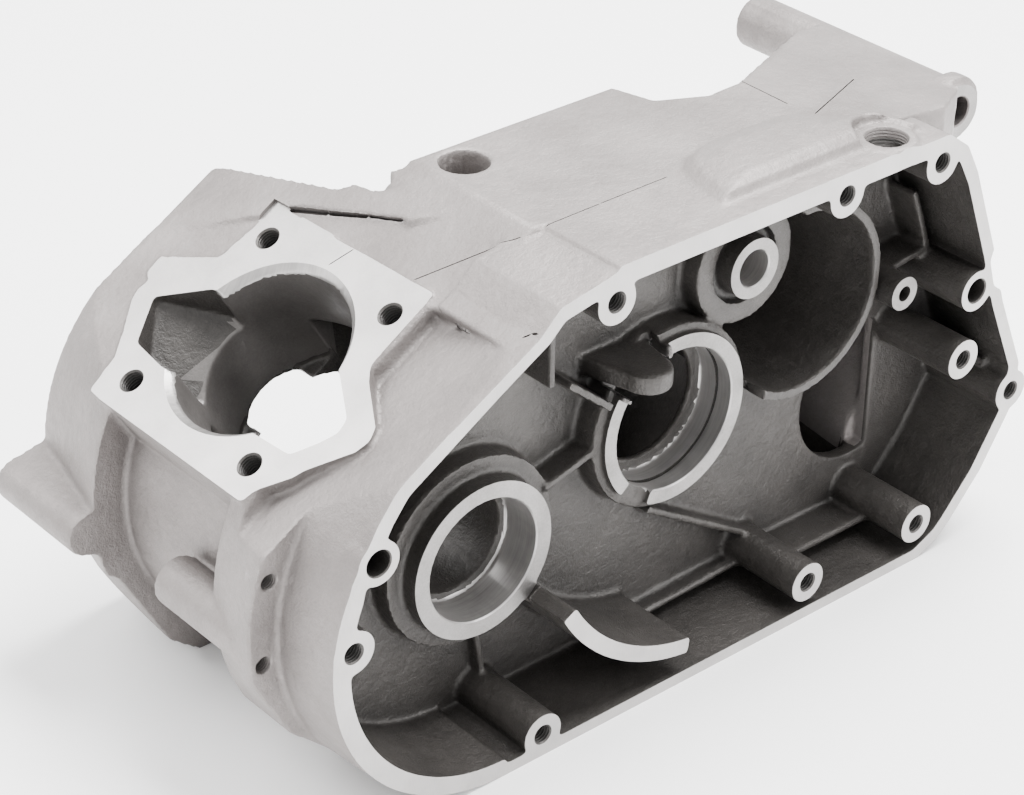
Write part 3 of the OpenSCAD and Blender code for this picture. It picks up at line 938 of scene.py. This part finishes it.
    def groove_seat(self) -> None:
        """Cut the circlip's groove into the seat of the clutch bearing."""
        x, z = CLUTCH
        y, width, radius = 25.9 * MM, 1.7 * MM, 24.7 * MM
        self.cut(cylinder("clip_tool", Vector((x * MM, y, z * MM)), Vector((0, 1, 0)), width,
                          radius, sides=96))

    def bore_spigot(self) -> None:
        """Cut the chamfer of the bore for the cylinder."""
        up, over, length = self.face_normal, 1.0 * MM, 6.0 * MM
        self.cut(cylinder("spigot_tool", self.face_centre + up * over, -up, length,
                          self.spigot, sides=128, radius_end=self.spigot - length))

    def bores(self) -> list[Bore]:
        """Round holes of the casting, from the record's mounts and the stud pitch.

        Returns:
            The holes, with the threads that they have.
        """
        made = []
        for mount in frame["record"]["mounts"]:
            if mount["kind"] not in ("bore", "threaded_hole"):
                continue
            radius, depth = mount["dims"]["r_mm"] * MM, mount["dims"]["length_mm"] * MM
            pitch = 0.0
            if mount["kind"] == "threaded_hole":
                pitch = self.coarse if radius > self.fine_below else self.fine
            made.append(Bore(Vector(mount["pos_m"]), Vector(mount["axis"]), radius, depth,
                             thread=pitch))
        half = self.stud_pitch / 2
        for x in (-half, half):
            for y in (-half, half):
                mouth = self.face_centre + self.face_slope * x + Vector((0, y, 0))
                made.append(Bore(mouth, self.face_normal, self.stud_radius, self.stud_depth,
                                 chamfer=0.5 * MM, thread=self.coarse))
        return made

    def build(self) -> bpy.types.Object:
        """Build the casting.

        Returns:
            The finished piece, before its materials.
        """
        self.copy_solid()
        self.add_allowance()
        self.soften()
        self.face_flange()
        self.face_cylinder()
        self.face_rings()
        self.groove_seat()
        self.bore_spigot()
        for number, groove in enumerate(self.grooves):
            self.cut(groove.cutter(f"groove_{number}"))
        for number, bore in enumerate(self.bores()):
            self.cut(bore.cutter(f"cutter_{number}"))
        return self.body


@dataclass(frozen=True)
class Seat:
    """A bored wall that faces its own axis, in millimetres.

    Args:
        centre: X and Z of the axis.
        radius: radius of the wall.
        low: distance of its near end from the flange.
        high: distance of its far end from the flange.
        outside: how far outside the radius a face may lie.
        inside: how far inside the radius a face may lie.
    """

    centre: Pair
    radius: float
    low: float
    high: float
    outside: float = 0.9
    inside: float = 3.2

    def covers(self, centre: np.ndarray, normal: np.ndarray) -> np.ndarray:
        """Test which faces belong to the wall.

        Args:
            centre: centres of the faces.
            normal: normals of the faces.

        Returns:
            One truth value per face.
        """
        away = centre[:, [0, 2]] - np.array(self.centre) * MM
        far, y = np.hypot(away[:, 0], away[:, 1]), centre[:, 1]
        ring = (far < (self.radius + self.outside) * MM) & (far > (self.radius - self.inside) * MM)
        along = (y > (self.low - 0.1) * MM) & (y < self.high * MM)
        facing = (np.abs(normal[:, 1]) < 0.8) & ((away * normal[:, [0, 2]]).sum(1) < 0.0)
        return ring & along & facing


@dataclass(frozen=True)
class Dressing:
    """Gives each face of the casting its surface. Its sizes are in millimetres.

    Args:
        flange: outline of the cover flange behind its nose.
        nose_centre: X and Z of the nose's centre.
        nose_radius: radius of the nose.
        nose_turns: turns where the nose starts and ends, in degrees.
        wall: how far inside the outline a face counts as inner.
        floor: how far behind the flange the compartment's floor may lie.
        round_rooms: radius, near end and far end of the rooms round the crankshaft.
        gear_room: two opposite corners of the gear room.
        front_normal: direction out of the slanted front wall.
        front_reach: distance of the front wall from the crankshaft.
        port_deep: how far below the cylinder face the ports go.
        liner: radius of the wall of the cylinder's bore.
        liner_spread: how far from that radius a face of the wall may lie.
        liner_deep: how far below the cylinder face the wall goes.
        chamfer_deep: how far below the cylinder face its chamfer goes.
        seats: the bored walls.
    """

    flange: tuple[Pair, ...] = (
        (-4.0, -63.0), (172.0, -63.0), (180.4, -59.1), (185.4, -54.7), (198.2, -40.9),
        (206.0, -29.4), (209.4, -22.3), (213.4, -18.6), (214.4, -10.2), (212.3, -4.0),
        (200.7, 23.3), (194.1, 30.7), (191.0, 40.5), (192.6, 44.5), (180.5, 75.7),
        (173.6, 87.6), (164.7, 92.3), (34.2, 92.8), (24.0, 90.3), (10.2, 87.6), (3.3, 80.6),
        (-11.4, 72.2), (-25.9, 64.6), (-37.6, 59.4), (-46.6, 51.9))
    nose_centre: Pair = (-6.9, -1.2)
    nose_radius: float = 62.0
    nose_turns: Pair = (142.0, 268.0)
    wall: float = 2.1
    floor: float = 33.5
    round_rooms: tuple[Triple, ...] = ((50.0, 30.0, 103.0), (61.2, 112.5, 151.5))
    gear_room: tuple[Triple, Triple] = ((40.0, 31.0, -60.5), (172.0, 86.0, 87.0))
    front_normal: Triple = (-0.478, 0.2217, 0.878)
    front_reach: float = 65.8
    port_deep: float = 50.0
    liner: float = 29.2
    liner_spread: float = 1.8
    liner_deep: float = 40.0
    chamfer_deep: float = 2.6
    seats: tuple[Seat, ...] = (
        Seat(CRANK, 20.0, 18.7, 33.0), Seat(CRANK, 25.0, 97.0, 115.0),
        Seat(CLUTCH, 23.5, 20.5, 34.6), Seat(CLUTCH, 24.7, 25.5, 28.0),
        Seat(SHIFT, 6.0, 20.5, 37.0))

    @property
    def finishes(self) -> dict[Surface, CastFinish | MilledFinish]:
        """The finish of each surface."""
        return {
            Surface.CAST: CastFinish(
                "cast_outside", light=(0.25, 0.229, 0.221), dark=(0.165, 0.149, 0.143),
                wear_and_highlight=(0.37, 0.352, 0.342)),
            Surface.MACHINED: MilledFinish(
                "milled_faces", light=(0.425, 0.41, 0.402), dark=(0.33, 0.318, 0.311)),
            # inside finish: far darker than the outside cast finish, partly painted shade standing
            # for the shade in the compartments and ports
            Surface.INSIDE: CastFinish(
                "cast_inside_painted_shade", light=(0.06, 0.055, 0.051), dark=(0.023, 0.0208, 0.0192),
                wear_and_highlight=(0.27, 0.255, 0.248), roughness=0.42, metallic=0.35,
                wear_and_highlight_reach=1.4 * MM),
            Surface.BORED: MilledFinish(
                "bored_seats", light=(0.46, 0.445, 0.435), dark=(0.26, 0.25, 0.243),
                pitch=(60.0, 1400.0, 60.0)),
            Surface.LINER: CastFinish(
                "bore_wall", light=(0.16, 0.15, 0.144), dark=(0.09, 0.084, 0.08),
                wear_and_highlight=(0.3, 0.286, 0.28), roughness=0.38, metallic=0.5,
                relief=0.05 * MM, painted_shade=0.4),
            Surface.TURNED: MilledFinish(
                "turned_faces", light=(0.3, 0.289, 0.282), dark=(0.17, 0.163, 0.158),
                pitch=(1500.0, 600.0, 1500.0), roughness=0.4, relief=0.04 * MM),
        }

    @property
    def outline(self) -> np.ndarray:
        """Outline of the flange in metres, counter-clockwise."""
        nose = arc(self.nose_centre, self.nose_radius, *self.nose_turns, steps=40)
        return np.vstack([np.array(self.flange) * MM, nose])

    def inner(self, centre: np.ndarray, local: np.ndarray, height: np.ndarray,
              casting: Casting) -> np.ndarray:
        """Test which faces lie inside the compartment, the rooms and the ports.

        Args:
            centre: centres of the faces.
            local: their places on the cylinder face's local axes.
            height: their heights above the cylinder face.
            casting: the casting's sizes.

        Returns:
            One truth value per face.
        """
        y, crank = centre[:, 1], np.hypot(centre[:, 0], centre[:, 2])
        rim = within(centre[:, [0, 2]], offset(self.outline, -self.wall * MM))
        inner = rim & (y > 0.05 * MM) & (y < self.floor * MM)
        for radius, low, high in self.round_rooms:
            inner |= (crank < radius * MM) & (y > low * MM) & (y < high * MM)
        near, far = np.array(self.gear_room) * MM
        inner |= ((centre > near) & (centre < far)).all(1)
        inner &= centre @ np.array(self.front_normal) < self.front_reach * MM
        ports = within(local, offset(casting.pad, -3.0 * MM))
        return inner | (ports & (height < -0.1 * MM) & (height > -self.port_deep * MM))

    def surfaces(self, mesh: bpy.types.Mesh, casting: Casting) -> np.ndarray:
        """Choose the surface of each face by its place and normal.

        Args:
            mesh: mesh of the casting.
            casting: the casting's sizes.

        Returns:
            The surfaces' numbers, one per face.
        """
        count = len(mesh.polygons)
        centre, normal = np.empty(count * 3), np.empty(count * 3)
        mesh.polygons.foreach_get("center", centre)
        mesh.polygons.foreach_get("normal", normal)
        centre, normal = centre.reshape(-1, 3), normal.reshape(-1, 3)
        y, up = centre[:, 1], np.array(casting.face_normal)
        slope = np.array((up[2], 0.0, -up[0]))
        local = np.stack([centre @ slope, y - casting.face_y], 1)
        height, facing = centre @ up - casting.face_up, normal @ up
        made = np.full(count, Surface.CAST.value)
        made[self.inner(centre, local, height, casting)] = Surface.INSIDE.value
        for seat in self.seats:
            made[seat.covers(centre, normal)] = Surface.BORED.value
        across = np.hypot(local[:, 0], local[:, 1])
        liner = np.abs(across - self.liner * MM) < self.liner_spread * MM
        liner &= (height < -0.05 * MM) & (height > -self.liner_deep * MM)
        liner &= (facing > -0.5) & (facing < 0.85)
        made[liner] = Surface.LINER.value
        made[liner & (height > -self.chamfer_deep * MM)] = Surface.BORED.value
        milled = (np.abs(y) < NEAR_PLANE) & (normal[:, 1] < -0.9)
        milled |= ((np.abs(height) < NEAR_PLANE) & (facing > 0.9)
                   & within(local, offset(casting.pad, 1.2 * MM)))
        made[milled] = Surface.MACHINED.value
        for ring in casting.rings:
            turned = within(centre[:, [0, 2]], ring.outline(0.5)) & (normal[:, 1] < -0.9)
            turned &= np.abs(y - ring.y * MM) < NEAR_PLANE
            made[turned] = Surface.TURNED.value
        return made

    def sharpen(self, piece: bpy.types.Object) -> None:
        """Mark the borders of the machined surfaces as sharp edges.

        Args:
            piece: the casting.
        """
        crisp = {Surface.MACHINED.value, Surface.BORED.value, Surface.TURNED.value}
        work = bmesh.new()
        work.from_mesh(piece.data)
        for edge in work.edges:
            kinds = {face.material_index for face in edge.link_faces}
            if len(kinds) > 1 and kinds & crisp:
                edge.smooth = False
        work.to_mesh(piece.data)
        work.free()

    def dress(self, piece: bpy.types.Object, casting: Casting) -> None:
        """Put the finishes on the piece.

        Args:
            piece: the casting.
            casting: its sizes.
        """
        piece.data.materials.clear()
        for surface in Surface:
            piece.data.materials.append(self.finishes[surface].material())
        made = self.surfaces(piece.data, casting)
        flat = (made == Surface.MACHINED.value) | (made == Surface.TURNED.value)
        piece.data.polygons.foreach_set("material_index", made.astype(np.int32))
        piece.data.polygons.foreach_set("use_smooth", ~flat)
        self.sharpen(piece)
        for surface in Surface:
            LOG.info("%s: %d faces", surface.name.lower(), int((made == surface.value).sum()))


@dataclass(frozen=True)
class Lamp:
    """A soft round light that looks at the middle of the casting.

    Args:
        name: name of the light.
        place: where it stands.
        size: width of the lamp.
        power: power in watts.
    """

    name: str
    place: Triple
    size: float
    power: float

    def build(self) -> None:
        """Hang the light."""
        data = bpy.data.lights.new(self.name, "AREA")
        data.shape = "DISK"
        data.size = self.size
        data.energy = self.power
        lamp = bpy.data.objects.new(self.name, data)
        aim = (MIDDLE - Vector(self.place)).to_track_quat("-Z", "Y").to_matrix().to_4x4()
        lamp.matrix_world = Matrix.Translation(self.place) @ aim
        bpy.context.scene.collection.objects.link(lamp)


@dataclass(frozen=True)
class Studio:
    """Floor, lights and camera of the picture.

    Args:
        eye: where the camera stands.
        right: direction to the right of the picture.
        down: direction to the bottom of the picture.
        ahead: direction that the camera looks in.
        focal: focal length in millimetres.
        film: width of the camera's film in millimetres.
        floor_width: width of the floor.
        sky: strength of the white light from all round.
        lamps: the soft lights.
    """

    eye: Triple = (-0.432607, -0.494702, 0.463193)
    right: Triple = (0.76213318, -0.6473183, 0.01149046)
    down: Triple = (-0.32878195, -0.40226525, -0.85445017)
    ahead: Triple = (0.55772345, 0.64742697, -0.51940627)
    focal: float = 99.498
    film: float = 36.0
    floor_width: float = 14.0
    sky: float = 1.9
    lamps: tuple[Lamp, ...] = (
        Lamp("key", (0.55, 0.05, 1.5), 1.1, 95.0),
        Lamp("back", (-0.7, 0.9, 1.2), 1.0, 30.0),
        Lamp("side", (0.9, -1.2, 0.7), 0.8, 22.0))

    def camera(self) -> None:
        """Place the camera at the picture's viewpoint."""
        data = bpy.data.cameras.new("camera")
        data.lens = self.focal
        data.sensor_width = self.film
        data.sensor_fit = "HORIZONTAL"
        data.clip_start, data.clip_end = 0.02, 50.0
        camera = bpy.data.objects.new("camera", data)
        axes = (Vector(self.right), -Vector(self.down), -Vector(self.ahead))
        turn = Matrix(axes).transposed().to_4x4()
        camera.matrix_world = Matrix.Translation(self.eye) @ turn
        bpy.context.scene.collection.objects.link(camera)
        bpy.context.scene.camera = camera

    def floor(self) -> None:
        """Lay the pale floor under the casting."""
        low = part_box(NODE)[0]
        deselect()
        bpy.ops.mesh.primitive_plane_add(size=self.floor_width,
                                         location=(MIDDLE.x, MIDDLE.y, low.z))
        plane = bpy.context.object
        plane.name = "floor"
        mat = bpy.data.materials.new("floor")
        mat.use_nodes = True
        shader = mat.node_tree.nodes["Principled BSDF"]
        shader.inputs["Base Color"].default_value = (0.94, 0.94, 0.94, 1.0)
        shader.inputs["Roughness"].default_value = 0.9
        plane.data.materials.append(mat)

    def world(self) -> None:
        """Light the scene evenly from all round."""
        world = bpy.data.worlds.new("studio")
        world.use_nodes = True
        background = world.node_tree.nodes["Background"]
        background.inputs["Color"].default_value = (1.0, 1.0, 1.0, 1.0)
        background.inputs["Strength"].default_value = self.sky
        bpy.context.scene.world = world

    def build(self) -> None:
        """Set up the whole studio."""
        self.camera()
        self.floor()
        for lamp in self.lamps:
            lamp.build()
        self.world()


def main() -> None:
    """Build the studio and the casting."""
    Studio().build()
    casting = Casting()
    piece = casting.build()
    activate(piece)
    bpy.ops.object.shade_smooth_by_angle(angle=math.radians(35))
    Dressing().dress(piece, casting)
    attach(piece, "root")
    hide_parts(NODE)
    LOG.info("%s: %d faces", piece.name, len(piece.data.polygons))


if __name__ == "__main__":
    main()
